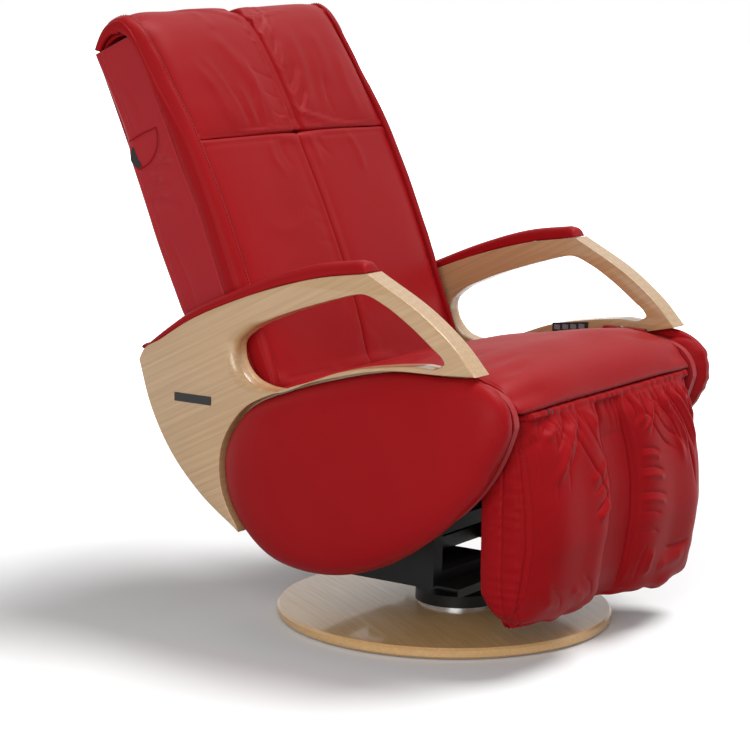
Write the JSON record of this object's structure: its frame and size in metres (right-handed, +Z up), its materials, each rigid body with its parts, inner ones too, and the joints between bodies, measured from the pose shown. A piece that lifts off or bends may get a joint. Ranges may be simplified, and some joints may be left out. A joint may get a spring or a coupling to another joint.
{
  "type": "reflexology chair",
  "caption": "Swivelling upholstered massage recliner with bentwood arms, padded side pods, hinged leg rest and a round wooden foot",
  "frame": {"origin": "centre of the round foot's underside, on the floor", "axes": "+Z up; the sitter faces -Y; +X is the sitter's left"},
  "size_m": [0.8, 0.9449, 1.0845],
  "materials": {
    "wood": "satin lacquer",
    "plywood": "matte",
    "red_leather": "semi-matte",
    "black_steel": "satin",
    "bright_steel": "brushed",
    "black_plastic": "matte",
    "grey_plastic": "matte",
    "motor": "satin",
    "rubber": "matte",
    "felt": "matte"
  },
  "bodies": {
    "base": {"floor_felt": "felt", "base_disc": "wood", "swivel_flange": "bright_steel", "flange_screws": "bright_steel", "bearing_balls": "bright_steel", "swivel_nut": "bright_steel"},
    "chassis": {"swivel_drum": "black_steel", "swivel_column": "black_steel", "top_plate": "black_steel", "mounting_bolts": "bright_steel", "chassis_frame": "black_steel", "chassis_side_left": "black_steel", "chassis_side_right": "black_steel", "chassis_tray": "black_steel", "cross_tubes": "black_steel", "seat_pan": "plywood", "seat_cushion": "red_leather", "side_board_left": "plywood", "side_board_right": "plywood", "arm_left": "wood", "arm_right": "wood", "arm_bolts": "bright_steel", "arm_pad_left": "red_leather", "arm_pad_right": "red_leather", "pod_left": "red_leather", "pod_right": "red_leather", "name_plate": "black_plastic", "keypad_body": "black_plastic", "leg_hinge_arms": "black_steel", "hinge_pins": "bright_steel", "control_box": "black_plastic", "air_pump": "black_plastic", "power_inlet": "black_plastic"},
    "back": {"back_frame": "black_steel", "back_side_left": "plywood", "back_side_right": "plywood", "back_cover": "plywood", "back_pad": "red_leather", "head_pad": "red_leather", "massage_rails": "black_steel", "screw_blocks": "bright_steel", "screw_motor": "motor"},
    "screw": {"lead_screw": "bright_steel"},
    "carriage": {"massage_carriage": "bright_steel", "knead_motor": "motor"},
    "roller_upper": {"roller_pair_upper": "grey_plastic"},
    "roller_lower": {"roller_pair_lower": "grey_plastic"},
    "leg_rest": {"leg_pad": "red_leather", "leg_frame": "black_steel", "leg_back_board": "plywood", "calf_airbags": "rubber"},
    "back_drive": {"back_actuator": "black_plastic"},
    "back_drive_rod": {"back_actuator_rod": "bright_steel"},
    "leg_drive": {"leg_actuator": "black_plastic"},
    "leg_drive_rod": {"leg_actuator_rod": "bright_steel"},
    "button_1": {"button_1": "grey_plastic"},
    "button_2": {"button_2": "grey_plastic"},
    "button_3": {"button_3": "grey_plastic"},
    "button_4": {"button_4": "grey_plastic"}
  },
  "joints": [
    {"name": "swivel", "type": "hinge", "parent": "base", "child": "chassis", "pos_m": [0, -0.03, 0.06], "axis": [0, 0, 1], "continuous": true},
    {"name": "back_recline", "type": "hinge", "parent": "chassis", "child": "back", "pos_m": [0, 0.2, 0.405], "axis": [-1, 0, 0], "range_deg": [0, 45]},
    {"name": "leg_lift", "type": "hinge", "parent": "chassis", "child": "leg_rest", "pos_m": [0, -0.325, 0.444], "axis": [-1, 0, 0], "range_deg": [0, 85]},
    {"name": "back_drive_pivot", "type": "hinge", "parent": "chassis", "child": "back_drive", "pos_m": [0.06, -0.0925, 0.25], "axis": [1, 0, 0], "range_deg": [-1, 6]},
    {"name": "back_drive_stroke", "type": "slide", "parent": "back_drive", "child": "back_drive_rod", "axis": [0, -0.99, -0.1411], "range_m": [-0.001, 0.085]},
    {"name": "leg_drive_pivot", "type": "hinge", "parent": "chassis", "child": "leg_drive", "pos_m": [-0.06, 0.08, 0.235], "axis": [1, 0, 0], "range_deg": [-1, 8]},
    {"name": "leg_drive_stroke", "type": "slide", "parent": "leg_drive", "child": "leg_drive_rod", "axis": [0, -0.9051, 0.4252], "range_m": [-0.001, 0.0574]},
    {"name": "carriage_travel", "type": "slide", "parent": "back", "child": "carriage", "axis": [0, 0.4226, 0.9063], "range_m": [-0.13, 0.26]},
    {"name": "screw_spin", "type": "hinge", "parent": "back", "child": "screw", "pos_m": [0, 0.34491, 0.66844], "axis": [0, 0.4226, 0.9063], "continuous": true},
    {"name": "roller_upper_spin", "type": "hinge", "parent": "carriage", "child": "roller_upper", "pos_m": [0, 0.3449, 0.7181], "axis": [1, 0, 0], "continuous": true},
    {"name": "roller_lower_spin", "type": "hinge", "parent": "carriage", "child": "roller_lower", "pos_m": [0, 0.30686, 0.63653], "axis": [1, 0, 0], "continuous": true},
    {"name": "button_1_press", "type": "slide", "parent": "chassis", "child": "button_1", "axis": [1, 0, 0], "range_m": [0, 0.001], "stiffness_N_per_m": 400},
    {"name": "button_2_press", "type": "slide", "parent": "chassis", "child": "button_2", "axis": [1, 0, 0], "range_m": [0, 0.001], "stiffness_N_per_m": 400},
    {"name": "button_3_press", "type": "slide", "parent": "chassis", "child": "button_3", "axis": [1, 0, 0], "range_m": [0, 0.001], "stiffness_N_per_m": 400},
    {"name": "button_4_press", "type": "slide", "parent": "chassis", "child": "button_4", "axis": [1, 0, 0], "range_m": [0, 0.001], "stiffness_N_per_m": 400}
  ],
  "couplings": [
    {"joint": "back_drive_pivot", "follows": "back_recline", "ratio": 0.076},
    {"joint": "back_drive_stroke", "follows": "back_recline", "m_per_rad": 0.107},
    {"joint": "leg_drive_pivot", "follows": "leg_lift", "ratio": 0.058},
    {"joint": "leg_drive_stroke", "follows": "leg_lift", "m_per_rad": 0.038},
    {"joint": "screw_spin", "follows": "carriage_travel", "rad_per_m": 314.16}
  ]
}
